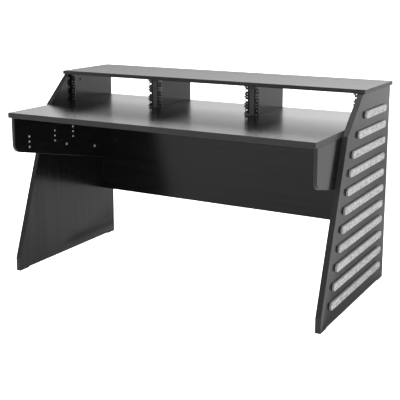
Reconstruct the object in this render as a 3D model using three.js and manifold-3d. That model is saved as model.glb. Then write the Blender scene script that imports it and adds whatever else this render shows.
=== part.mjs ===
// A three-bay studio desk in black melamine board: two kinked side panels with felt strips let into
// their outer faces, a deep worktop on two tapered arms, a modesty panel, and a raised shelf over
// three rack bays, each closed at both sides by a punched steel rack rail.
// Millimetres, +Z up, +X to the right of a person sitting at the desk, who sits on the -Y side.
// The origin lies on the floor, under the middle of the desk's length and depth.

import * as THREE from "three";
import { mergeVertices } from "three/addons/utils/BufferGeometryUtils.js";
import Module from "manifold-3d";

const wasm = await Module();
wasm.setup();

// Rack standard
const rackUnit = 44.45;
const rackUnitsHigh = 3;
const rackHoleSpan = 465.1;
const outerHoleOffset = 15.875;
const bayCount = 3;
const bayPlay = 0.65;

// Rack rails
const railSteel = 2;
const railBend = 3;
const railFlange = 20.5;
const railReturn = 32;
const railHoleInset = 13.2;
const railEndGap = 0.5;
const railCentreHole = 9;
const railSlotLength = 10.5;
const railSlotHeight = 6.5;
const railFixingHole = 5;
const railFixingSetback = 20;

// Boards
const sideThickness = 25;
const dividerThickness = 25;
const worktopThickness = 25;
const shelfThickness = 18;
const modestyThickness = 18;
const armThickness = 16;
const edgeRadius = 1.2;
const endEasing = 1;

// Worktop and shelf
const worktopHeight = 782;
const worktopDepth = 798;
const worktopRearGap = 33;
const shelfSideOverhang = 7.7;
const shelfRearOverhang = 10;
const shelfFrontOverhang = 3.3;

// Side panel outline
const footDepth = 789;
const footHeight = 64;
const kinkDepth = 545;
const kinkRise = 3;
const topDepth = 371.5;
const footLength = 62;
const footRelief = 4;

// Dividers and modesty panel
const dividerSetback = 20;
const modestySetback = 74;
const modestyBottom = 267;

// Arms under the worktop
const armFrontSetback = 22;
const armFrontDrop = 164;
const armRearDrop = 317;
const armCornerRadius = 45;
const trayHole = 6;
const trayHoleDepth = 12;
const trayHolePitch = 25;
const trayTopDrop = 106;
const trayColumnOne = 102;
const trayColumnTwo = 294;
const trayColumnThree = 439;
const trayRows = 3;
const boltHead = 14;
const boltHeadHeight = 3;
const boltShank = 7;
const boltBite = 18;
const boltRise = 59;
const boltFrontMargin = 385;
const boltRearMargin = 96;
const boltSocket = 6;
const boltSocketDepth = 2;

// Cam locks that draw the shelf down on the side panels
const camDiameter = 15;
const camDepth = 13;
const camDrop = 35;
const camSetback = 276;
const camSlotWidth = 2.5;
const camSlotDepth = 2;

// Felt strips and the pockets routed for them
const padCount = 11;
const padHeight = 34;
const padThickness = 15;
const pocketDepth = 6;
const padRim = 2.5;
const padRearMargin = 72;
const padFrontMargin = 70.5;
const padKinkMargin = 80.5;
const padBottomMargin = 85;
const padTopMargin = 92.5;

// Fits
const fitGap = 0.4;
const cutOverrun = 5;

// Sizes that follow from those above
const bayWidth = rackHoleSpan + 2 * railHoleInset;
const innerWidth = bayCount * bayWidth + (bayCount - 1) * dividerThickness;
const innerHalf = innerWidth / 2;
const outerHalf = innerHalf + sideThickness;
const bayHeight = rackUnitsHigh * rackUnit + bayPlay;
const sideHeight = worktopHeight + bayHeight;
const worktopUnderside = worktopHeight - worktopThickness;
const worktopFront = worktopRearGap + worktopDepth;
const kinkHeight = worktopUnderside + kinkRise;
const dividerFront = topDepth - dividerSetback;
const modestyFront = modestySetback + modestyThickness;
const armFront = worktopFront - armFrontSetback;
const armLength = armFront - modestyFront;
const trayColumns = [trayColumnOne, trayColumnTwo, trayColumnThree];
const boltColumns = [boltFrontMargin, armLength - boltRearMargin];
const originSetback = (worktopFront - shelfRearOverhang) / 2;

// Finishes
const melamine = new THREE.MeshStandardMaterial({ color: 0x1b1b1d, roughness: 0.38, metalness: 0 });
const railPaint = new THREE.MeshStandardMaterial({ color: 0x0d0d0f, roughness: 0.4, metalness: 0.5 });
const felt = new THREE.MeshStandardMaterial({ color: 0xb9b8b5, roughness: 1, metalness: 0 });
const nickel = new THREE.MeshStandardMaterial({ color: 0xc8c6c0, roughness: 0.25, metalness: 1 });
const camPlastic = new THREE.MeshStandardMaterial({ color: 0x101010, roughness: 0.6, metalness: 0 });

// A closed geometry as a solid that can be cut, and back again.
function toSolid(geometry) {
  const bare = geometry.clone();
  bare.deleteAttribute("normal");
  bare.deleteAttribute("uv");
  const merged = mergeVertices(bare);
  return new wasm.Manifold(
    new wasm.Mesh({
      numProp: 3,
      vertProperties: merged.attributes.position.array,
      triVerts: new Uint32Array(merged.index.array),
    }),
  );
}

function toGeometry(solid) {
  const mesh = solid.getMesh();
  const indexed = new THREE.BufferGeometry();
  indexed.setAttribute("position", new THREE.BufferAttribute(mesh.vertProperties, 3));
  indexed.setIndex(new THREE.BufferAttribute(mesh.triVerts, 1));
  const geometry = indexed.toNonIndexed();
  geometry.computeVertexNormals();
  return geometry;
}

function cutFrom(geometry, cutters) {
  return toGeometry(cutters.reduce((solid, cutter) => solid.subtract(toSolid(cutter)), toSolid(geometry)));
}

// Turns a shape drawn in depth (y) and height (z) so that it is extruded along x.
function alongX(geometry) {
  return geometry.rotateX(Math.PI / 2).rotateZ(Math.PI / 2);
}

// An upright board: its outline in y and z, its thickness from x = 0 to +x, its edges eased all round.
function uprightBoard(outline, thickness) {
  const geometry = new THREE.ExtrudeGeometry(outline, {
    depth: thickness - 2 * edgeRadius,
    bevelThickness: edgeRadius,
    bevelSize: edgeRadius,
    bevelOffset: -edgeRadius,
    bevelSegments: 2,
    curveSegments: 5,
  });
  return alongX(geometry.translate(0, 0, edgeRadius));
}

// A board of full length in x, centred on x = 0: front and rear in y, bottom and top in z. Its long
// edges are rounded and its ends eased.
function crossBoard(length, front, rear, bottom, top) {
  const section = new THREE.Shape();
  section.absarc(rear - edgeRadius, bottom + edgeRadius, edgeRadius, -Math.PI / 2, 0);
  section.absarc(rear - edgeRadius, top - edgeRadius, edgeRadius, 0, Math.PI / 2);
  section.absarc(front + edgeRadius, top - edgeRadius, edgeRadius, Math.PI / 2, Math.PI);
  section.absarc(front + edgeRadius, bottom + edgeRadius, edgeRadius, Math.PI, (3 * Math.PI) / 2);
  const geometry = new THREE.ExtrudeGeometry(section, {
    depth: length - 2 * endEasing,
    bevelThickness: endEasing,
    bevelSize: endEasing,
    bevelOffset: -endEasing,
    bevelSegments: 1,
    curveSegments: 2,
  });
  return alongX(geometry.translate(0, 0, endEasing - length / 2));
}

// A slot's outline with full round ends, from start to end along the first axis.
function roundEnded(start, end, height) {
  const radius = height / 2;
  const outline = new THREE.Shape();
  outline.absarc(end - radius, 0, radius, -Math.PI / 2, Math.PI / 2);
  outline.absarc(start + radius, 0, radius, Math.PI / 2, (3 * Math.PI) / 2);
  return outline;
}

function rodAlongX(diameter, length, sides) {
  return new THREE.CylinderGeometry(diameter / 2, diameter / 2, length, sides).rotateZ(Math.PI / 2);
}

function place(parent, name, geometry, material, x = 0, y = 0, z = 0) {
  const mesh = new THREE.Mesh(geometry, material);
  mesh.name = name;
  mesh.position.set(x, y, z);
  parent.add(mesh);
  return mesh;
}

// The bottom edge of an arm runs down towards the rear.
const armSlope = (armRearDrop - armFrontDrop) / armLength;
const armBottomAt = (setback) => worktopUnderside - armFrontDrop - armSlope * setback;

// Depth of the side panel's front edge, as straight lines through its corners.
const lowerRake = (footDepth - kinkDepth) / (kinkHeight - footHeight);
const upperRake = (kinkDepth - topDepth) / (sideHeight - kinkHeight);
const lowerEdgeAt = (height) => footDepth - lowerRake * (height - footHeight);
const upperEdgeAt = (height) => kinkDepth - upperRake * (height - kinkHeight);

// Each strip stops short of the raked front edge by a margin square to it, and all end in line at the rear.
const padPitch = (sideHeight - padBottomMargin - padTopMargin) / (padCount - 1);
const pads = Array.from({ length: padCount }, (_, index) => {
  const height = sideHeight - padTopMargin - index * padPitch;
  const lower = lowerEdgeAt(height) - padFrontMargin * Math.hypot(1, lowerRake);
  const upper = upperEdgeAt(height) - padKinkMargin * Math.hypot(1, upperRake);
  return { height, front: -Math.min(lower, upper, footDepth - padFrontMargin), rear: -padRearMargin };
});

function sidePanelGeometry() {
  const outline = new THREE.Shape();
  outline.moveTo(0, 0);
  outline.lineTo(0, sideHeight);
  outline.lineTo(-topDepth, sideHeight);
  outline.lineTo(-kinkDepth, kinkHeight);
  outline.lineTo(-footDepth, footHeight);
  outline.lineTo(-footDepth, 0);
  outline.lineTo(footLength - footDepth, 0);
  outline.lineTo(footLength + footRelief - footDepth, footRelief);
  outline.lineTo(-footLength - footRelief, footRelief);
  outline.lineTo(-footLength, 0);
  const board = uprightBoard(outline, sideThickness);

  const pockets = pads.map((pad) => {
    const pocket = new THREE.ExtrudeGeometry(
      roundEnded(pad.front - fitGap, pad.rear + fitGap, padHeight + 2 * fitGap),
      { depth: pocketDepth + cutOverrun, bevelEnabled: false, curveSegments: 4 },
    );
    return alongX(pocket).translate(sideThickness - pocketDepth, 0, pad.height);
  });
  const boltHoles = boltColumns.map((column) =>
    rodAlongX(boltShank + 2 * fitGap, 2 * (boltBite + fitGap), 16)
      .translate(0, column - armFront, armBottomAt(column) + boltRise),
  );
  const camBore = rodAlongX(camDiameter, 2 * camDepth, 20).translate(0, -camSetback, sideHeight - camDrop);
  return cutFrom(board, [...pockets, ...boltHoles, camBore]);
}

function padGeometry(pad) {
  const strip = new THREE.ExtrudeGeometry(roundEnded(pad.front, pad.rear, padHeight), {
    depth: padThickness - 2 * padRim,
    bevelThickness: padRim,
    bevelSize: padRim,
    bevelOffset: -padRim,
    bevelSegments: 2,
    curveSegments: 4,
  });
  return alongX(strip.translate(0, 0, padRim));
}

function armGeometry() {
  const rear = -modestyFront;
  const front = -armFront;
  const slope = Math.atan(armSlope);
  const tangent = armCornerRadius * Math.tan(Math.PI / 4 - slope / 2);
  const cornerCentre = worktopUnderside - armFrontDrop + tangent;
  const outline = new THREE.Shape();
  outline.moveTo(rear, worktopUnderside - armRearDrop);
  outline.lineTo(rear, worktopUnderside);
  outline.lineTo(front, worktopUnderside);
  outline.absarc(front + armCornerRadius, cornerCentre, armCornerRadius, Math.PI, 1.5 * Math.PI - slope);
  const board = uprightBoard(outline, armThickness);

  // Blind holes for a tray's inserts open on the inner face; the bolt holes go right through.
  const cutters = [];
  for (const column of trayColumns) {
    for (let row = 0; row < trayRows; row += 1) {
      const height = worktopUnderside - trayTopDrop - row * trayHolePitch;
      cutters.push(rodAlongX(trayHole, 2 * trayHoleDepth, 12).translate(0, column - armFront, height));
    }
  }
  for (const column of boltColumns) {
    cutters.push(
      rodAlongX(boltShank + 2 * fitGap, armThickness + 2 * cutOverrun, 16)
        .translate(armThickness / 2, column - armFront, armBottomAt(column) + boltRise),
    );
  }
  return cutFrom(board, cutters);
}

// A bolt with a low domed head at x = 0 and its shank pointing along +x, with a hexagonal socket.
function boltGeometry() {
  const length = armThickness + boltBite;
  const points = [
    new THREE.Vector2(0, length),
    new THREE.Vector2(boltShank / 2, length),
    new THREE.Vector2(boltShank / 2, 0),
    new THREE.Vector2(boltHead / 2, 0),
    new THREE.Vector2(boltHead / 2, -boltHeadHeight / 2),
    new THREE.Vector2(boltHead / 2 - boltHeadHeight / 2, -boltHeadHeight),
    new THREE.Vector2(0, -boltHeadHeight),
  ];
  const turned = new THREE.LatheGeometry(points.reverse(), 20).rotateZ(-Math.PI / 2);
  const socket = rodAlongX(boltSocket, boltSocketDepth + cutOverrun, 6)
    .translate(-boltHeadHeight + (boltSocketDepth - cutOverrun) / 2, 0, 0);
  return cutFrom(turned, [socket]);
}

function camGeometry() {
  const length = camDepth - 2 * fitGap;
  const disc = rodAlongX(camDiameter - 2 * fitGap, length, 20).translate(length / 2 + fitGap, 0, 0);
  const slot = new THREE.BoxGeometry(2 * camSlotDepth, camDiameter / 2, camSlotWidth).translate(fitGap, 0, 0);
  return cutFrom(disc, [slot]);
}

// A rack rail: an angle bent from sheet. Its mounting face is x = 0, its punched front face is y = 0,
// and z = 0 is half its height. Every rack unit has a round hole between two slots.
function railGeometry() {
  const height = bayHeight - 2 * railEndGap;
  const section = new THREE.Shape();
  section.moveTo(railFlange, 0);
  section.lineTo(railFlange, railSteel);
  section.absarc(railBend, railBend, railBend - railSteel, 1.5 * Math.PI, Math.PI, true);
  section.lineTo(railSteel, railReturn);
  section.lineTo(0, railReturn);
  section.absarc(railBend, railBend, railBend, Math.PI, 1.5 * Math.PI);
  const angle = new THREE.ExtrudeGeometry(section, { depth: height, bevelEnabled: false, curveSegments: 2 })
    .translate(0, 0, -height / 2);

  const slot = roundEnded(
    railHoleInset - railSlotLength / 2,
    railHoleInset + railSlotLength / 2,
    railSlotHeight,
  );
  const cutters = [];
  for (let unit = 0; unit < rackUnitsHigh; unit += 1) {
    const centre = (unit - (rackUnitsHigh - 1) / 2) * rackUnit;
    cutters.push(
      new THREE.CylinderGeometry(railCentreHole / 2, railCentreHole / 2, 2 * cutOverrun, 14)
        .translate(railHoleInset, 0, centre),
      rodAlongX(railFixingHole, 2 * cutOverrun, 10).translate(0, railFixingSetback, centre),
    );
    for (const offset of [-outerHoleOffset, outerHoleOffset]) {
      cutters.push(
        new THREE.ExtrudeGeometry(slot, { depth: 2 * cutOverrun, bevelEnabled: false, curveSegments: 2 })
          .rotateX(Math.PI / 2)
          .translate(0, cutOverrun, centre + offset),
      );
    }
  }
  return cutFrom(angle, cutters);
}

// Everything below is placed from the rear edge of the side panels at y = 0.
const desk = new THREE.Group();
desk.position.y = originSetback;

place(desk, "worktop",
  crossBoard(innerWidth, -worktopFront, -worktopRearGap, worktopUnderside, worktopHeight), melamine);
place(desk, "top_shelf",
  crossBoard(
    2 * (outerHalf + shelfSideOverhang),
    -topDepth - shelfFrontOverhang,
    shelfRearOverhang,
    sideHeight,
    sideHeight + shelfThickness,
  ), melamine);
place(desk, "modesty_panel",
  crossBoard(innerWidth, -modestyFront, -modestySetback, modestyBottom, worktopUnderside), melamine);

// Dividers stand on the worktop under the shelf, flush with its rear edge.
const dividerOutline = new THREE.Shape();
dividerOutline.moveTo(-worktopRearGap, 0);
dividerOutline.lineTo(-worktopRearGap, bayHeight);
dividerOutline.lineTo(-dividerFront, bayHeight);
dividerOutline.lineTo(-dividerFront, 0);
const dividerBoard = uprightBoard(dividerOutline, dividerThickness);
for (let index = 1; index < bayCount; index += 1) {
  const x = -innerHalf + index * bayWidth + (index - 1) * dividerThickness;
  place(desk, `rack_divider_${index}`, dividerBoard, melamine, x, 0, worktopHeight);
}

// Two rails face each other across every bay.
const rail = railGeometry();
for (let index = 0; index < bayCount; index += 1) {
  const left = -innerHalf + index * (bayWidth + dividerThickness);
  const height = worktopHeight + bayHeight / 2;
  place(desk, `rack_rail_bay${index + 1}_left`, rail, railPaint, left, -dividerFront, height);
  const facing = place(
    desk, `rack_rail_bay${index + 1}_right`, rail, railPaint, left + bayWidth, -dividerFront, height);
  facing.scale.x = -1;
}

// One end of the desk, built for the right-hand side and mirrored for the left.
const sidePanel = sidePanelGeometry();
const arm = armGeometry();
const bolt = boltGeometry();
const cam = camGeometry();
for (const [sideName, mirror] of [["right", 1], ["left", -1]]) {
  const side = new THREE.Group();
  side.scale.x = mirror;
  desk.add(side);
  place(side, `side_panel_${sideName}`, sidePanel, melamine, innerHalf);
  place(side, `support_arm_${sideName}`, arm, melamine, innerHalf - armThickness);
  ["front", "rear"].forEach((boltName, index) => {
    const column = boltColumns[index];
    place(
      side, `arm_bolt_${sideName}_${boltName}`, bolt, nickel,
      innerHalf - armThickness, column - armFront, armBottomAt(column) + boltRise);
  });
  place(side, `cam_lock_${sideName}`, cam, camPlastic, innerHalf, -camSetback, sideHeight - camDrop);
  pads.forEach((pad, index) => {
    const number = String(index + 1).padStart(2, "0");
    place(
      side, `felt_strip_${sideName}_${number}`, padGeometry(pad), felt,
      outerHalf - pocketDepth, 0, pad.height);
  });
}

export default desk;
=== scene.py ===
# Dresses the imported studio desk: black melamine boards with banded edges, felt strips let into the
# side panels, punched rack rails with their clip nuts and screws, and nickel hardware on the arms.
# Metres, in the model's own frame: +Z up, the sitter on the -Y side, the floor at z = 0.

import math

import bmesh
import bpy
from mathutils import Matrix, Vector, noise


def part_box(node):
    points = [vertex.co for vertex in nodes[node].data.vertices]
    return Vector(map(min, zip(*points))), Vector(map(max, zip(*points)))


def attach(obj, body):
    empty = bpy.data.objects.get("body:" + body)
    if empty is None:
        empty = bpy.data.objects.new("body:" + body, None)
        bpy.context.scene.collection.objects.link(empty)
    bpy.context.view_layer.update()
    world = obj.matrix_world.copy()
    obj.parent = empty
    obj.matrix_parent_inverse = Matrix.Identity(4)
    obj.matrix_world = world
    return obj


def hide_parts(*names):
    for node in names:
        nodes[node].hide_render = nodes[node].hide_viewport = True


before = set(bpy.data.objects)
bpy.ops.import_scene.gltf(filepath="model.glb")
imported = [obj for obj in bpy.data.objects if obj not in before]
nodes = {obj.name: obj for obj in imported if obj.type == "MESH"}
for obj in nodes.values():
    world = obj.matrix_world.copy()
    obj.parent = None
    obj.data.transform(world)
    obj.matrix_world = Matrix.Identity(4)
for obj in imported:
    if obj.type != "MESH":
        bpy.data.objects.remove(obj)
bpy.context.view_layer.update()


# Side panels
# Each end of the desk is one 25 mm chipboard panel with a satin black melamine skin, sawn to a
# kinked outline. Its sawn edges carry a black plastic band, a little lighter than the skin.
skin_dark, skin_light = (0.002, 0.002, 0.0021), (0.0085, 0.0085, 0.0088)
skin_squareness = 0.9
skin_shine = 0.5
melamine_ior = 1.37
pores_along, pores_across, pore_depth = 16.0, 620.0, 0.000002
streaks_along, streaks_across = 1.6, 70.0
band_mottle = 240.0
band_roughness = (0.36, 0.42)


def blank_finish(name):
    """A material with nothing but a shader on its output."""
    finish = bpy.data.materials.new(name)
    finish.use_nodes = True
    tree = finish.node_tree
    tree.nodes.clear()
    shader = tree.nodes.new("ShaderNodeBsdfPrincipled")
    output = tree.nodes.new("ShaderNodeOutputMaterial")
    tree.links.new(shader.outputs["BSDF"], output.inputs["Surface"])
    return finish, tree, shader


def node_of(tree, kind, **settings):
    made = tree.nodes.new(kind)
    for name, value in settings.items():
        setattr(made, name, value)
    return made


def feed(tree, value, socket):
    """Links another node's output to a socket, or sets the socket to a plain value."""
    if isinstance(value, bpy.types.NodeSocket):
        tree.links.new(value, socket)
    else:
        socket.default_value = value


def reckoned(tree, operation, *terms):
    """One step of arithmetic, each term a socket or a number."""
    step = node_of(tree, "ShaderNodeMath", operation=operation)
    for term, socket in zip(terms, step.inputs):
        feed(tree, term, socket)
    return step.outputs[0]


def mixed(tree, kind, factor, first, second, blend_type="MIX"):
    """Two colours or two numbers mixed by a factor, each a socket or a plain value."""
    mix = node_of(tree, "ShaderNodeMix", data_type=kind, blend_type=blend_type)
    in_use = [socket for socket in mix.inputs if socket.enabled]
    for value, socket in zip((factor, first, second), in_use):
        feed(tree, value, socket)
    return next(socket for socket in mix.outputs if socket.enabled)


def toned(tree, factor, dark, light):
    """Two tones mixed by a factor."""
    return mixed(tree, "RGBA", factor, (*dark, 1.0), (*light, 1.0))


def fine_noise(tree, per_metre, detail=3.0, roughness=0.55):
    """Noise over the object's own coordinates, with so many grains a metre along x, y and z."""
    place = node_of(tree, "ShaderNodeTexCoord")
    spread = node_of(tree, "ShaderNodeMapping")
    spread.inputs["Scale"].default_value = per_metre
    grains = node_of(tree, "ShaderNodeTexNoise")
    grains.inputs["Scale"].default_value = 1.0
    grains.inputs["Detail"].default_value = detail
    grains.inputs["Roughness"].default_value = roughness
    tree.links.new(place.outputs["Object"], spread.inputs["Vector"])
    tree.links.new(spread.outputs["Vector"], grains.inputs["Vector"])
    return grains.outputs["Fac"]


def ranged(tree, factor, low, high, start=0.3, end=0.7):
    """The factor's span from start to end, spread from a low to a high number."""
    span = node_of(tree, "ShaderNodeMapRange")
    for label, value in (("From Min", start), ("From Max", end), ("To Min", low), ("To Max", high)):
        span.inputs[label].default_value = value
    tree.links.new(factor, span.inputs["Value"])
    return span.outputs["Result"]


def squareness(tree, axis):
    """How squarely a face looks along an axis, from 0 to 1."""
    facing = node_of(tree, "ShaderNodeNewGeometry")
    parts = node_of(tree, "ShaderNodeSeparateXYZ")
    tree.links.new(facing.outputs["True Normal"], parts.inputs["Vector"])
    return reckoned(tree, "ABSOLUTE", parts.outputs[axis])


def bumped(tree, shader, height, depth):
    """A relief, so many metres deep, on the shader's surface."""
    bump = node_of(tree, "ShaderNodeBump")
    bump.inputs["Distance"].default_value = depth
    tree.links.new(height, bump.inputs["Height"])
    tree.links.new(bump.outputs["Normal"], shader.inputs["Normal"])


def melamine(name, across, along, band=(0.026, 0.036), satin=(0.175, 0.205), grain=0.02):
    """Black melamine for a board that is thin along one axis and whose grain runs along another.
    The faces across the thickness are skin; the sawn edges are banded. Each board has its own
    greys for the band, roughness for the skin, and share by which the grain changes its shine."""
    finish, tree, shader = blank_finish(name)
    pores = fine_noise(
        tree, [pores_along if axis == along else pores_across for axis in "XYZ"])
    streaks = fine_noise(
        tree, [streaks_along if axis == along else streaks_across for axis in "XYZ"],
        detail=5.0, roughness=0.65)
    mottle = fine_noise(tree, (band_mottle,) * 3)
    on_skin = reckoned(tree, "GREATER_THAN", squareness(tree, across), skin_squareness)

    band_dark, band_light = band
    skin = toned(tree, ranged(tree, streaks, 0.0, 1.0), skin_dark, skin_light)
    edge = toned(tree, ranged(tree, mottle, 0.0, 1.0), (band_dark,) * 3, (band_light,) * 3)
    tree.links.new(mixed(tree, "RGBA", on_skin, edge, skin), shader.inputs["Base Color"])

    matt_edge = ranged(tree, mottle, *band_roughness)
    satin_skin = ranged(tree, streaks, *satin)
    tree.links.new(mixed(tree, "FLOAT", on_skin, matt_edge, satin_skin), shader.inputs["Roughness"])
    shine = ranged(tree, streaks, skin_shine - grain, skin_shine + grain)
    tree.links.new(shine, shader.inputs["Specular IOR Level"])
    shader.inputs["IOR"].default_value = melamine_ior
    bumped(tree, shader, pores, depth=pore_depth)
    return finish


def give_finish(piece, finish):
    if piece.material_slots:
        piece.material_slots[0].material = finish
    else:
        piece.data.materials.append(finish)


upright_melamine = melamine("melamine_side_panels", across="X", along="Z", grain=0.09)
for side in ("left", "right"):
    give_finish(nodes[f"side_panel_{side}"], upright_melamine)


# Worktop
# One 25 mm board laid between the side panels, with its grain along its length. It carries the
# dividers and is held from below by the arms and the modesty panel.
worktop_melamine = melamine("melamine_worktop", across="Z", along="X", satin=(0.235, 0.25))
give_finish(nodes["worktop"], worktop_melamine)


# Modesty panel
# An 18 mm board that hangs under the worktop, crosswise between the side panels, and keeps the
# desk from racking. Its grain runs along the desk.
crosswise_melamine = melamine("melamine_modesty_panel", across="Y", along="X")
give_finish(nodes["modesty_panel"], crosswise_melamine)


# Arms under the worktop
# A tapered 16 mm board on the inner face of each side panel, with a large round front corner. Two
# domed socket bolts of bright nickel clamp each arm to its panel.
def bright_metal(name, worn_tone, tone, roughness):
    """Plated or blackened metal, cloudy in tone and uneven in gloss."""
    finish, tree, shader = blank_finish(name)
    grains = fine_noise(tree, (900.0,) * 3)
    cloud = fine_noise(tree, (160.0,) * 3)
    clouded = toned(tree, ranged(tree, cloud, 0.0, 1.0), worn_tone, tone)
    tree.links.new(clouded, shader.inputs["Base Color"])
    tree.links.new(ranged(tree, grains, *roughness), shader.inputs["Roughness"])
    shader.inputs["Metallic"].default_value = 1.0
    bumped(tree, shader, grains, depth=0.000008)
    return finish


arm_melamine = melamine("melamine_arms", across="X", along="Y")
nickel = bright_metal("nickel_plate", (0.66, 0.65, 0.63), (0.78, 0.765, 0.74), (0.24, 0.36))
for side in ("left", "right"):
    give_finish(nodes[f"support_arm_{side}"], arm_melamine)
    for end in ("front", "rear"):
        give_finish(nodes[f"arm_bolt_{side}_{end}"], nickel)


# Threaded inserts for a sliding tray
# Nine flanged sleeves of bright zinc in each arm's inner face, in three columns of three, 25 mm
# apart. Each is pressed into a blind hole until its round flange stands a little proud.
insert_zinc = bright_metal("insert_zinc", (0.90, 0.90, 0.89), (0.97, 0.97, 0.96), (0.70, 0.84))
ring_facets = 28
ring_corner_points = 3
flange_rounding = 0.0007
sleeve_rounding = 0.00005


def sized_tree(name, labels):
    """A Geometry Nodes tree with one named input for each size: the tree, its inputs' sockets and
    the socket that takes what it makes."""
    tree = bpy.data.node_groups.new(name, "GeometryNodeTree")
    tree.interface.new_socket("Geometry", in_out="INPUT", socket_type="NodeSocketGeometry")
    for label in labels:
        tree.interface.new_socket(label, in_out="INPUT", socket_type="NodeSocketFloat")
    tree.interface.new_socket("Geometry", in_out="OUTPUT", socket_type="NodeSocketGeometry")
    given = tree.nodes.new("NodeGroupInput").outputs
    return tree, given, tree.nodes.new("NodeGroupOutput").inputs["Geometry"]


def vector_of(tree, x=0.0, y=0.0, z=0.0):
    made = node_of(tree, "ShaderNodeCombineXYZ")
    for value, socket in zip((x, y, z), made.inputs):
        feed(tree, value, socket)
    return made.outputs[0]


def moved(tree, geometry, **changes):
    """A shape with a new translation, rotation or scale, each a socket or three numbers."""
    move = node_of(tree, "GeometryNodeTransform")
    tree.links.new(geometry, move.inputs["Geometry"])
    for label, value in changes.items():
        feed(tree, value, move.inputs[label.capitalize()])
    return move.outputs["Geometry"]


def joined(tree, *geometries):
    join = node_of(tree, "GeometryNodeJoinGeometry")
    for geometry in reversed(geometries):
        tree.links.new(geometry, join.inputs["Geometry"])
    return join.outputs["Geometry"]


def oblong(tree, width, height):
    section = node_of(tree, "GeometryNodeCurvePrimitiveQuadrilateral")
    tree.links.new(width, section.inputs["Width"])
    tree.links.new(height, section.inputs["Height"])
    return section.outputs["Curve"]


def swept(tree, path, section, capped=False):
    """A section carried along a path."""
    sweep = node_of(tree, "GeometryNodeCurveToMesh")
    sweep.inputs["Fill Caps"].default_value = capped
    tree.links.new(path, sweep.inputs["Curve"])
    tree.links.new(section, sweep.inputs["Profile Curve"])
    return sweep.outputs["Mesh"]


def ring(tree, path_radius, width, height, rounding):
    """A turned ring about x: a rounded section carried round a circle."""
    path = node_of(tree, "GeometryNodeCurvePrimitiveCircle")
    path.inputs["Resolution"].default_value = ring_facets
    tree.links.new(path_radius, path.inputs["Radius"])
    softened = node_of(tree, "GeometryNodeFilletCurve", mode="POLY")
    softened.inputs["Radius"].default_value = rounding
    softened.inputs["Count"].default_value = ring_corner_points
    tree.links.new(oblong(tree, width, height), softened.inputs["Curve"])
    turned = swept(tree, path.outputs["Curve"], softened.outputs["Curve"])
    return moved(tree, turned, rotation=(0.0, math.radians(90), 0.0))


def spread_on_points(tree, points, made, finish, ready):
    """Sets one shape on every point, turned as the point says, and gives it its finish."""
    turn = node_of(tree, "GeometryNodeInputNamedAttribute", data_type="FLOAT_VECTOR")
    turn.inputs["Name"].default_value = "turn"
    spread = node_of(tree, "GeometryNodeInstanceOnPoints")
    tree.links.new(points, spread.inputs["Points"])
    tree.links.new(made, spread.inputs["Instance"])
    tree.links.new(turn.outputs[0], spread.inputs["Rotation"])
    real = node_of(tree, "GeometryNodeRealizeInstances")
    tree.links.new(spread.outputs["Instances"], real.inputs["Geometry"])
    painted = node_of(tree, "GeometryNodeSetMaterial")
    painted.inputs["Material"].default_value = finish
    tree.links.new(real.outputs["Geometry"], painted.inputs["Geometry"])
    tree.links.new(painted.outputs["Geometry"], ready)


def made_on_points(name, tree, places, sizes):
    """Runs a tree on points, each a place and a turn, and keeps the result as a plain mesh."""
    mesh = bpy.data.meshes.new(name)
    mesh.from_pydata([place for place, _ in places], [], [])
    turns = mesh.attributes.new("turn", "FLOAT_VECTOR", "POINT")
    turns.data.foreach_set("vector", [angle for _, turn in places for angle in turn])
    piece = bpy.data.objects.new(name, mesh)
    bpy.context.scene.collection.objects.link(piece)
    modifier = piece.modifiers.new("shape", "NODES")
    modifier.node_group = tree
    for item in tree.interface.items_tree:
        if item.in_out == "INPUT" and item.name in sizes:
            modifier[item.identifier] = sizes[item.name]
    bpy.context.view_layer.update()
    evaluated = piece.evaluated_get(bpy.context.evaluated_depsgraph_get())
    result = bpy.data.meshes.new_from_object(evaluated)
    piece.modifiers.clear()
    piece.data = result
    bpy.data.meshes.remove(mesh)
    result.name = name
    result.polygons.foreach_set("use_smooth", [False] * len(result.polygons))
    return piece


insert_tree, insert, ready = sized_tree(
    "flanged_insert", ("Flange diameter", "Bore", "Flange height", "Sleeve length", "Sleeve wall"))
flange_width = reckoned(
    insert_tree, "MULTIPLY",
    reckoned(insert_tree, "SUBTRACT", insert["Flange diameter"], insert["Bore"]), 0.5)
flange_path = reckoned(
    insert_tree, "MULTIPLY",
    reckoned(insert_tree, "ADD", insert["Flange diameter"], insert["Bore"]), 0.25)
flange_section_height = reckoned(insert_tree, "MULTIPLY", insert["Flange height"], 2.0)
insert_flange = ring(
    insert_tree, flange_path, flange_width, flange_section_height, flange_rounding)
sleeve_path = reckoned(
    insert_tree, "ADD", reckoned(insert_tree, "MULTIPLY", insert["Bore"], 0.5),
    reckoned(insert_tree, "MULTIPLY", insert["Sleeve wall"], 0.5))
sleeve_middle = reckoned(insert_tree, "MULTIPLY", insert["Sleeve length"], -0.5)
insert_sleeve = moved(
    insert_tree,
    ring(insert_tree, sleeve_path, insert["Sleeve wall"], insert["Sleeve length"], sleeve_rounding),
    translation=vector_of(insert_tree, x=sleeve_middle))
spread_on_points(
    insert_tree, insert["Geometry"], joined(insert_tree, insert_flange, insert_sleeve),
    insert_zinc, ready)

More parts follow.
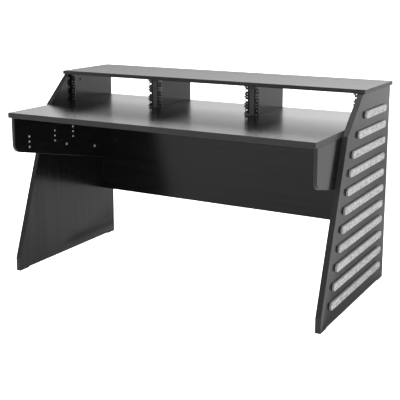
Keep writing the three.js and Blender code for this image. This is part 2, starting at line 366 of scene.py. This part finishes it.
insert_columns = (0.102, 0.294, 0.439)  # from the arm's front end
insert_rows = 3
insert_top_drop = 0.106
insert_pitch = 0.025
insert_places = []
for side in ("left", "right"):
    low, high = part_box(f"support_arm_{side}")
    facing_right = side == "left"
    face = high.x if facing_right else low.x
    turn = (0.0, 0.0, 0.0) if facing_right else (0.0, 0.0, math.pi)
    for column in insert_columns:
        for row in range(insert_rows):
            place = (face, low.y + column, high.z - insert_top_drop - row * insert_pitch)
            insert_places.append((place, turn))
tray_inserts = made_on_points(
    "tray_inserts", insert_tree, insert_places,
    {"Flange diameter": 0.0092, "Bore": 0.0028, "Flange height": 0.0018,
     "Sleeve length": 0.010, "Sleeve wall": 0.0010})
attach(tray_inserts, "root")


# Top shelf
# An 18 mm board that lies on the side panels and the dividers and stands a little over them on
# every side. Its skin has a little more gloss than the worktop's.
shelf_melamine = melamine("melamine_shelf", across="Z", along="X", satin=(0.13, 0.15))
give_finish(nodes["top_shelf"], shelf_melamine)


# Dividers
# Two 25 mm boards on edge between worktop and shelf, which part the space into three rack bays.
# Their front edges carry a band, with a rail on either side. The band's paler grey is painted light,
# for the light those edges catch.
# Painted light: the dividers' band greys are some three times the other boards'.
divider_melamine = melamine("melamine_dividers", across="X", along="Z", band=(0.085, 0.11))
for index in (1, 2):
    give_finish(nodes[f"rack_divider_{index}"], divider_melamine)


# Rack rails
# Six steel angles, punched with a round hole between two slots for every rack unit, bent and
# powder coated black. They face each other in pairs across the bays.
def powder_coat(name, dark, light, roughness):
    """Sprayed and baked paint, with a fine orange peel."""
    finish, tree, shader = blank_finish(name)
    peel = fine_noise(tree, (750.0,) * 3, detail=2.0)
    cloud = fine_noise(tree, (60.0,) * 3)
    clouded = toned(tree, ranged(tree, cloud, 0.0, 1.0), dark, light)
    tree.links.new(clouded, shader.inputs["Base Color"])
    tree.links.new(ranged(tree, peel, *roughness), shader.inputs["Roughness"])
    bumped(tree, shader, peel, depth=0.00005)
    return finish


rail_coat = powder_coat(
    "rail_powder_coat", (0.006, 0.006, 0.0065), (0.011, 0.011, 0.0115), (0.3, 0.44))
rail_names = [f"rack_rail_bay{bay}_{end}" for bay in (1, 2, 3) for end in ("left", "right")]
for rail_name in rail_names:
    give_finish(nodes[rail_name], rail_coat)


# Clip nuts on the rails
# A blackened spring-steel clip with a threaded barrel is pushed over the rail's free edge at every
# slot, and takes the rack screws. Its loop stands a little past the edge, and its other end is
# curled up.
rack_unit = 0.04445
units_from_middle = (-1, 0, 1)
slot_offset = 0.015875
hole_inset = 0.0132
rail_steel = 0.002
rod_facets = 20
turn_steps = 12
loop_start, loop_sweep, loop_join = -143, 286, 0.8
curl_start, curl_sweep = 90, 110
bore_overrun = 6.0

clip_steel = bright_metal(
    "clip_blackened_steel", (0.16, 0.16, 0.165), (0.25, 0.25, 0.25), (0.26, 0.36))

clip_tree, clip, ready = sized_tree(
    "clip_nut",
    ("Leaf height", "Leaf reach", "Loop reach", "Loop radius", "Curl radius", "Steel",
     "Rail steel", "Barrel diameter", "Barrel length", "Hole diameter"))


def clip_sum(operation, *terms):
    return reckoned(clip_tree, operation, *terms)


leaf_end = clip_sum(
    "SUBTRACT", clip["Loop reach"], clip_sum("MULTIPLY", clip["Loop radius"], loop_join))
leaf_length = clip_sum("ADD", clip["Leaf reach"], leaf_end)
leaf_centre = clip_sum("MULTIPLY", clip_sum("SUBTRACT", leaf_end, clip["Leaf reach"]), 0.5)
half_steel = clip_sum("MULTIPLY", clip["Steel"], 0.5)
front_leaf_depth = clip_sum("MULTIPLY", half_steel, -1.0)
rear_leaf_depth = clip_sum("ADD", clip["Rail steel"], half_steel)
barrel_depth = clip_sum(
    "ADD", clip_sum("ADD", clip["Rail steel"], clip["Steel"]),
    clip_sum("MULTIPLY", clip["Barrel length"], 0.5))


def block(tree, size, place):
    made = node_of(tree, "GeometryNodeMeshCube")
    tree.links.new(size, made.inputs["Size"])
    return moved(tree, made.outputs["Mesh"], translation=place)


def cut_away(tree, solid, tool):
    """A solid with another shape cut out of it."""
    cut = node_of(tree, "GeometryNodeMeshBoolean", operation="DIFFERENCE")
    tree.links.new(solid, cut.inputs["Mesh 1"])
    tree.links.new(tool, cut.inputs["Mesh 2"])
    return cut.outputs["Mesh"]


def clip_leaf(depth):
    """One of the clip's two flat sides, in front of the rail's steel or behind it."""
    return block(clip_tree, vector_of(clip_tree, leaf_length, clip["Steel"], clip["Leaf height"]),
                 vector_of(clip_tree, x=leaf_centre, y=depth))


def clip_rod(diameter, length, depth):
    """A round rod through the clip, for its barrel or its hole."""
    rod = node_of(clip_tree, "GeometryNodeMeshCylinder")
    rod.inputs["Vertices"].default_value = rod_facets
    clip_tree.links.new(clip_sum("MULTIPLY", diameter, 0.5), rod.inputs["Radius"])
    clip_tree.links.new(length, rod.inputs["Depth"])
    laid = moved(clip_tree, rod.outputs["Mesh"], rotation=(math.radians(90), 0.0, 0.0))
    return moved(clip_tree, laid, translation=vector_of(clip_tree, y=depth))


def clip_turn(radius, start, sweep, x, y):
    """The clip's strip of steel carried round an arc, its angles in degrees."""
    arc = node_of(clip_tree, "GeometryNodeCurveArc")
    arc.inputs["Resolution"].default_value = turn_steps
    arc.inputs["Start Angle"].default_value = math.radians(start)
    arc.inputs["Sweep Angle"].default_value = math.radians(sweep)
    clip_tree.links.new(radius, arc.inputs["Radius"])
    strip_section = oblong(clip_tree, clip["Steel"], clip["Leaf height"])
    bent = swept(clip_tree, arc.outputs["Curve"], strip_section, capped=True)
    return moved(clip_tree, bent, translation=vector_of(clip_tree, x=x, y=y))


clip_loop = clip_turn(
    clip["Loop radius"], loop_start, loop_sweep,
    x=clip["Loop reach"], y=clip_sum("MULTIPLY", clip["Rail steel"], 0.5))
clip_curl = clip_turn(
    clip["Curl radius"], curl_start, curl_sweep,
    x=clip_sum("MULTIPLY", clip["Leaf reach"], -1.0),
    y=clip_sum("SUBTRACT", front_leaf_depth, clip["Curl radius"]))
clip_barrel = clip_rod(clip["Barrel diameter"], clip["Barrel length"], barrel_depth)
clip_bore = clip_rod(
    clip["Hole diameter"], clip_sum("MULTIPLY", clip["Barrel length"], bore_overrun), 0.0)
solid_clip = joined(
    clip_tree, clip_leaf(front_leaf_depth), clip_leaf(rear_leaf_depth), clip_loop, clip_curl,
    clip_barrel)
spread_on_points(
    clip_tree, clip["Geometry"], cut_away(clip_tree, solid_clip, clip_bore), clip_steel, ready)

clip_places = []
for rail_name in rail_names:
    low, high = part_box(rail_name)
    middle = (low.z + high.z) / 2
    facing_right = rail_name.endswith("left")
    hole = low.x + hole_inset if facing_right else high.x - hole_inset
    turn = (0.0, 0.0, 0.0) if facing_right else (0.0, math.pi, 0.0)
    for unit in units_from_middle:
        for offset in (-slot_offset, slot_offset):
            clip_places.append(((hole, low.y, middle + unit * rack_unit + offset), turn))
clip_nuts = made_on_points(
    "clip_nuts", clip_tree, clip_places,
    {"Leaf height": 0.0078, "Leaf reach": 0.0044, "Loop reach": 0.0104, "Loop radius": 0.0024,
     "Curl radius": 0.0018, "Steel": 0.0009, "Rail steel": rail_steel,
     "Barrel diameter": 0.0076, "Barrel length": 0.0056, "Hole diameter": 0.0060})
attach(clip_nuts, "root")


# Screws that hold the rails
# Three cross-recessed pan heads of bright nickel in each rail's return, which lies against the
# board behind it.
recess_share = 0.56
dome_segments, dome_rings = 20, 10
screw_setback = 0.020

screw_tree, screw, ready = sized_tree(
    "pan_head_screw", ("Head diameter", "Head height", "Recess width", "Recess depth"))
dome = node_of(screw_tree, "GeometryNodeMeshUVSphere")
dome.inputs["Segments"].default_value = dome_segments
dome.inputs["Rings"].default_value = dome_rings
dome.inputs["Radius"].default_value = 1.0
head_radius = reckoned(screw_tree, "MULTIPLY", screw["Head diameter"], 0.5)
screw_head = moved(
    screw_tree, dome.outputs["Mesh"],
    scale=vector_of(screw_tree, screw["Head height"], head_radius, head_radius))


def recess_bar(lies_along_y):
    """One bar of the cross that the driver takes."""
    length = reckoned(screw_tree, "MULTIPLY", screw["Head diameter"], recess_share)
    depth = reckoned(screw_tree, "MULTIPLY", screw["Recess depth"], 2.0)
    width = screw["Recess width"]
    y, z = (length, width) if lies_along_y else (width, length)
    return block(screw_tree, vector_of(screw_tree, depth, y, z),
                 vector_of(screw_tree, x=screw["Head height"]))


recess = joined(screw_tree, recess_bar(True), recess_bar(False))
spread_on_points(
    screw_tree, screw["Geometry"], cut_away(screw_tree, screw_head, recess), nickel, ready)

screw_places = []
for rail_name in rail_names:
    low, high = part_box(rail_name)
    middle = (low.z + high.z) / 2
    facing_right = rail_name.endswith("left")
    face = low.x + rail_steel if facing_right else high.x - rail_steel
    turn = (0.0, 0.0, 0.0) if facing_right else (0.0, 0.0, math.pi)
    for unit in units_from_middle:
        screw_places.append(((face, low.y + screw_setback, middle + unit * rack_unit), turn))
rail_screws = made_on_points(
    "rail_screws", screw_tree, screw_places,
    {"Head diameter": 0.0086, "Head height": 0.0026,
     "Recess width": 0.0011, "Recess depth": 0.0014})
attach(rail_screws, "root")


# Cam locks
# A black cam disc sits in a bore in each side panel's inner face, under the shelf. Half a turn of
# its slot draws the shelf down.
def cam_black(name, dark, light, roughness):
    """Moulded plastic, finely grained and matt."""
    finish, tree, shader = blank_finish(name)
    grains = fine_noise(tree, (420.0,) * 3)
    grained = toned(tree, ranged(tree, grains, 0.0, 1.0), dark, light)
    tree.links.new(grained, shader.inputs["Base Color"])
    tree.links.new(ranged(tree, grains, *roughness), shader.inputs["Roughness"])
    bumped(tree, shader, grains, depth=0.00003)
    return finish


cam_finish = cam_black("cam_plastic", (0.005, 0.005, 0.005), (0.014, 0.014, 0.014), (0.45, 0.62))
for side in ("left", "right"):
    give_finish(nodes[f"cam_lock_{side}"], cam_finish)


# Felt strips
# Eleven strips of light grey felt, glued into pockets in each side panel's outer face with a gap all
# round. The shadow in that gap is painted: each strip is coloured black from the pocket's floor to
# just over the panel's face. They have round ends, a full face and cut walls painted darker, partly
# as cut felt and partly as painted shade.
face_dark, face_light = (0.235, 0.235, 0.231), (0.63, 0.63, 0.62)
fibre_dark, fibre_light = (0.58, 0.58, 0.58), (1.0, 1.0, 1.0)
# The cut walls' greys are darker than the face, partly as cut felt and partly as painted shade.
shaded_cut_dark, shaded_cut_light = (0.16, 0.16, 0.16), (0.50, 0.50, 0.49)
# Painted shadow: black for the gap round each strip, up to a plane just over the panel's face.
gap_shadow_tone = (0.004, 0.004, 0.004, 1.0)
painted_gap_top = 0.7893  # from the desk's middle plane
fibre_depth = 0.0006


def felt(name):
    """Flecked grey felt. Its cut walls are darker, partly as cut felt and partly as painted shade,
    and below a plane just over the panel's face it is painted black, a painted shadow in the gap.
    """
    finish, tree, shader = blank_finish(name)
    fibres = fine_noise(tree, (900.0, 420.0, 420.0), detail=4.0, roughness=0.7)
    flecks = fine_noise(tree, (260.0, 150.0, 150.0), detail=2.0, roughness=0.6)
    layers = fine_noise(tree, (60.0, 620.0, 620.0), detail=2.0)
    cloud = fine_noise(tree, (30.0, 16.0, 24.0))
    flecked = toned(
        tree, ranged(tree, flecks, 0.0, 1.0, start=0.39, end=0.56), face_dark, face_light)
    shade = toned(
        tree, ranged(tree, fibres, 0.0, 1.0, start=0.34, end=0.62), fibre_dark, fibre_light)
    face = mixed(tree, "RGBA", 1.0, flecked, shade, blend_type="MULTIPLY")
    # Walls told from the face by the way they face are darker: partly cut felt, partly painted
    # shade.
    cut = toned(tree, ranged(tree, layers, 0.0, 1.0), shaded_cut_dark, shaded_cut_light)
    on_face = ranged(tree, squareness(tree, "X"), 0.0, 1.0, start=0.30, end=0.75)
    all_felt = mixed(tree, "RGBA", on_face, cut, face)

    # Painted shadow: felt nearer the desk's middle than that plane is coloured black, for the gap.
    place = node_of(tree, "ShaderNodeTexCoord")
    parts = node_of(tree, "ShaderNodeSeparateXYZ")
    tree.links.new(place.outputs["Object"], parts.inputs["Vector"])
    from_middle = reckoned(tree, "ABSOLUTE", parts.outputs["X"])
    above_painted_gap = reckoned(tree, "GREATER_THAN", from_middle, painted_gap_top)
    with_gap_shadow = mixed(tree, "RGBA", above_painted_gap, gap_shadow_tone, all_felt)
    tree.links.new(with_gap_shadow, shader.inputs["Base Color"])
    tree.links.new(ranged(tree, cloud, 0.9, 1.0), shader.inputs["Roughness"])
    shader.inputs["Specular IOR Level"].default_value = 0.15
    shader.inputs["Sheen Weight"].default_value = 0.25
    shader.inputs["Sheen Roughness"].default_value = 0.6
    bumped(tree, shader, fibres, depth=fibre_depth)
    return finish


grey_felt = felt("grey_felt")
strips_a_side = 11
strip_gap = 0.0016
strip_drop = 0.0006
strip_stand = 0.0013
strip_rim, rim_steps = 0.0013, 4
strip_crown, crown_shares = 0.0008, (0.25, 0.5, 0.75, 1.0)
strip_step, least_steps, strip_end_steps = 0.0045, 4, 14
merge_distance = 0.00002
strip_waviness = 0.00028
long_wave, short_wave, short_wave_share = 90.0, 260.0, 0.6
wavy_from = 0.001  # above the pocket's floor


def strip_ring(front, rear, height, inset, count_straight, count_round):
    """One ring of a strip's outline as (depth, height) pairs, drawn in by an inset."""
    radius = height / 2 - inset
    half = height / 2
    points = []
    for step in range(count_straight):
        share = step / count_straight
        points.append((front + half + share * (rear - front - height), -radius))
    for step in range(count_round):
        angle = -math.pi / 2 + math.pi * step / count_round
        points.append((rear - half + radius * math.cos(angle), radius * math.sin(angle)))
    for step in range(count_straight):
        share = step / count_straight
        points.append((rear - half - share * (rear - front - height), radius))
    for step in range(count_round):
        angle = math.pi / 2 + math.pi * step / count_round
        points.append((front + half + radius * math.cos(angle), radius * math.sin(angle)))
    return points


def felt_strip(name, node_name, outward):
    """A crowned strip with a rolled rim, built up in rings from its pocket's floor."""
    low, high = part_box(node_name)
    inner = low.x if outward > 0 else high.x
    front = low.y + strip_gap
    rear = high.y - strip_gap
    proud = (high.x if outward > 0 else low.x) + outward * strip_stand
    height = high.z - low.z - 2 * strip_gap
    middle = (high.z + low.z) / 2 - strip_drop
    half = height / 2
    count_straight = max(least_steps, round((rear - front - height) / strip_step))
    profile = [(0.0, inner), (0.0, inner + (proud - inner) * 0.5)]
    for step in range(rim_steps + 1):
        angle = math.pi / 2 * step / rim_steps
        profile.append((
            strip_rim * (1 - math.cos(angle)),
            proud - outward * strip_rim * (1 - math.sin(angle)),
        ))
    for share in crown_shares:
        inset = strip_rim + (half - strip_rim) * share
        profile.append((inset, proud + outward * strip_crown * (1 - (1 - share) ** 2)))

    mesh = bpy.data.meshes.new(name)
    build = bmesh.new()
    rings = []
    for inset, x in profile:
        outline = strip_ring(front, rear, height, inset, count_straight, strip_end_steps)
        rings.append([build.verts.new((x, y, middle + z)) for y, z in outline])
    for lower, upper in zip(rings, rings[1:]):
        for index in range(len(lower)):
            following = (index + 1) % len(lower)
            build.faces.new((lower[index], lower[following], upper[following], upper[index]))
    build.faces.new(rings[0])
    bmesh.ops.remove_doubles(build, verts=build.verts, dist=merge_distance)
    bmesh.ops.dissolve_degenerate(build, edges=build.edges, dist=merge_distance)
    bmesh.ops.recalc_face_normals(build, faces=build.faces)
    build.normal_update()
    for vertex in build.verts:
        if (vertex.co.x - inner) * outward > wavy_from:
            wave = (noise.noise(vertex.co * long_wave)
                    + short_wave_share * noise.noise(vertex.co * short_wave))
            vertex.co += vertex.normal * wave * strip_waviness
    build.to_mesh(mesh)
    build.free()
    # All is smooth but the underside, the one face with more than four corners.
    mesh.polygons.foreach_set("use_smooth", [len(face.vertices) <= 4 for face in mesh.polygons])
    strip = bpy.data.objects.new(name, mesh)
    bpy.context.scene.collection.objects.link(strip)
    give_finish(strip, grey_felt)
    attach(strip, "root")
    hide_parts(node_name)


for side, outward in (("left", -1), ("right", 1)):
    for number in range(1, strips_a_side + 1):
        felt_strip(f"felt_{side}_{number:02d}", f"felt_strip_{side}_{number:02d}", outward)


# Floor
# A pale floor without end. The camera sees it lifted to white, because the photograph stands on
# pure white, while the desk mirrors it as it is lit.
floor_radius = 150.0
floor_drop = 0.0005
floor_dark, floor_light = (0.77,) * 3, (0.79,) * 3
floor_mottle = 9.0

floor_mesh = bpy.data.meshes.new("floor")
build = bmesh.new()
bmesh.ops.create_circle(build, cap_ends=True, segments=64, radius=floor_radius)
build.to_mesh(floor_mesh)
build.free()
floor = bpy.data.objects.new("floor", floor_mesh)
floor.location.z = -floor_drop
bpy.context.scene.collection.objects.link(floor)
pale, tree, shader = blank_finish("pale_floor")
floor_tone = toned(tree, fine_noise(tree, (floor_mottle,) * 3), floor_dark, floor_light)
tree.links.new(floor_tone, shader.inputs["Base Color"])
shader.inputs["Roughness"].default_value = 0.9
shader.inputs["Specular IOR Level"].default_value = 0.0
shader.inputs["Emission Color"].default_value = (1.0, 1.0, 1.0, 1.0)
seen = node_of(tree, "ShaderNodeLightPath").outputs["Is Camera Ray"]
tree.links.new(seen, shader.inputs["Emission Strength"])
give_finish(floor, pale)


# Surround
# The studio round the desk, brighter to the rear and the right. A bright band low down is what the
# shelf and the worktop mirror, and the camera sees all of it as white.
brightness_at_height = (  # from the horizon, 0, to overhead, 1
    (0.0, 0.07), (0.06, 0.04), (0.12, 0.31), (0.18, 0.55), (0.25, 0.8), (0.31, 1.4), (0.37, 2.9),
    (0.44, 1.0), (0.62, 0.08), (1.0, 0.05))
front_share, rear_share = 0.3, 2.5
left_share, right_share = 0.95, 1.2

surround = bpy.data.worlds.new("white_surround")
surround.use_nodes = True
bpy.context.scene.world = surround
tree = surround.node_tree
tree.nodes.clear()
sky = tree.nodes.new("ShaderNodeBackground")
output = tree.nodes.new("ShaderNodeOutputWorld")
direction = tree.nodes.new("ShaderNodeTexCoord")
parts = tree.nodes.new("ShaderNodeSeparateXYZ")
tree.links.new(direction.outputs["Generated"], parts.inputs["Vector"])
heights = node_of(tree, "ShaderNodeValToRGB")
stops = heights.color_ramp.elements
for height, _ in brightness_at_height[1:-1]:
    stops.new(height)
for stop, (_, brightness) in zip(stops, brightness_at_height):
    stop.color = (brightness, brightness, brightness, 1.0)
tree.links.new(parts.outputs["Z"], heights.inputs["Fac"])
backward = ranged(tree, parts.outputs["Y"], front_share, rear_share, start=-0.3, end=0.3)
rightward = ranged(tree, parts.outputs["X"], left_share, right_share, start=-0.6, end=-0.2)
level = reckoned(tree, "MULTIPLY", backward, rightward)
lighting = reckoned(tree, "MULTIPLY", level, heights.outputs["Color"])
seen = node_of(tree, "ShaderNodeLightPath").outputs["Is Camera Ray"]
tree.links.new(mixed(tree, "FLOAT", seen, lighting, 1.0), sky.inputs["Strength"])
sky.inputs["Color"].default_value = (1.0, 1.0, 1.0, 1.0)
tree.links.new(sky.outputs["Background"], output.inputs["Surface"])


# Lamps
# A softbox overhead and one at the front right light the desk alone. A low wash lights the floor
# alone, shaded by all of the desk but its left side. Of two boards of light behind the desk, one
# fills the left bay and the other lays a sheen on the worktop, which the shelf doesn't shade.
def softbox(name, place, aim, width, height, radiance):
    """A rectangular lamp of an even radiance, turned to a point."""
    light = bpy.data.lights.new(name, "AREA")
    light.shape = "RECTANGLE"
    light.size = width
    light.size_y = height
    light.energy = radiance * math.pi * width * height
    lamp = bpy.data.objects.new(name, light)
    lamp.location = place
    lamp.rotation_euler = (Vector(aim) - Vector(place)).to_track_quat("-Z", "Y").to_euler()
    lamp.visible_camera = False
    bpy.context.scene.collection.objects.link(lamp)
    return lamp


def link_group(name, thing, left_out=False):
    """A group for a lamp's links: the thing alone, or all but the thing."""
    group = bpy.data.collections.new(name)
    group.objects.link(thing)
    if left_out:
        group.collection_objects[0].light_linking.link_state = "EXCLUDE"
    return group


off_the_floor = link_group("off_the_floor", floor, left_out=True)
key = softbox(
    "key_softbox", place=(2.6, -2.6, 1.5), aim=(0.0, 0.0, 0.7),
    width=2.4, height=2.0, radiance=1.02)
key.light_linking.receiver_collection = off_the_floor
overhead = softbox(
    "top_softbox", place=(0.6, -0.6, 3.2), aim=(0.1, 0.0, 0.8),
    width=2.4, height=2.0, radiance=3.2)
overhead.light_linking.receiver_collection = off_the_floor

bay_fill = softbox(
    "bay_fill", place=(2.8, 4.5, 0.3), aim=(-0.76, 0.1, 0.85),
    width=3.0, height=0.7, radiance=0.8)
bay_fill.light_linking.receiver_collection = link_group("left_panel", nodes["side_panel_left"])

worktop_sheen = softbox(
    "worktop_sheen", place=(-2.5, 5.0, 2.4), aim=(0.3, -0.3, 0.78),
    width=3.8, height=0.9, radiance=0.95)
worktop_sheen.light_linking.receiver_collection = link_group("worktop_alone", nodes["worktop"])
worktop_sheen.light_linking.blocker_collection = link_group(
    "shelf_out", nodes["top_shelf"], left_out=True)

wash_direction = (0.293, 0.9406, -0.1736)
wash = bpy.data.lights.new("floor_wash", "SUN")
wash.energy = 17.5
wash.angle = math.radians(5.0)
wash_lamp = bpy.data.objects.new("floor_wash", wash)
wash_lamp.rotation_euler = Vector(wash_direction).to_track_quat("-Z", "Y").to_euler()
bpy.context.scene.collection.objects.link(wash_lamp)
wash_lamp.light_linking.receiver_collection = link_group("washed", floor)
wash_lamp.light_linking.blocker_collection = link_group(
    "unshading", nodes["side_panel_left"], left_out=True)


# Camera
# It stands where the photograph's did, in front of the desk, to the right and a little above it,
# with the photograph's frame. Greys are shown plainly, without a film's curve.
bpy.context.scene.view_settings.view_transform = "Standard"
camera_tilt_down = 11.377
camera_turn_left = 29.432
lens = bpy.data.cameras.new("camera")
lens.sensor_width = 36.0
lens.lens = 77.638
lens.shift_y = -0.12
camera = bpy.data.objects.new("camera", lens)
camera.location = (1.95496, -3.42472, 1.39085)
camera.rotation_euler = (
    math.radians(90.0 - camera_tilt_down), 0.0, math.radians(camera_turn_left))
bpy.context.scene.collection.objects.link(camera)
bpy.context.scene.camera = camera
